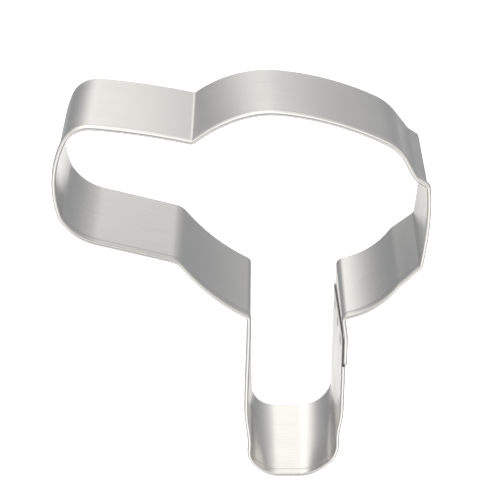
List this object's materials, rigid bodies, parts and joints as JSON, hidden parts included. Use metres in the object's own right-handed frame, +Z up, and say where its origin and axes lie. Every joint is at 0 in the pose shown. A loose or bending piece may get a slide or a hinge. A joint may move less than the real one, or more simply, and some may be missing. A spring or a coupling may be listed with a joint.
{
  "type": "cookie cutter",
  "caption": "Hair-dryer-shaped cookie cutter bent from thin steel strip, with a plain cutting edge, a rim folded over outwards and a spot-welded lap on the handle.",
  "frame": {"origin": "on the plane that the cutting edge stands on, under the middle of the cutter's overall length and width", "axes": "+Z up from the cutting edge to the folded rim; +Y from the handle towards the top of the body; the nozzle points to -X"},
  "size_m": [0.0764, 0.0888, 0.024],
  "materials": {
    "satin_steel": "satin cold-rolled stainless strip with soft reflections",
    "weld_steel": "duller grey where the electrodes pressed and heated the sheet"
  },
  "bodies": {
    "root": {"cutter_strip": "satin_steel", "spot_weld_low": "weld_steel", "spot_weld_middle": "weld_steel", "spot_weld_high": "weld_steel"}
  },
  "joints": []
}
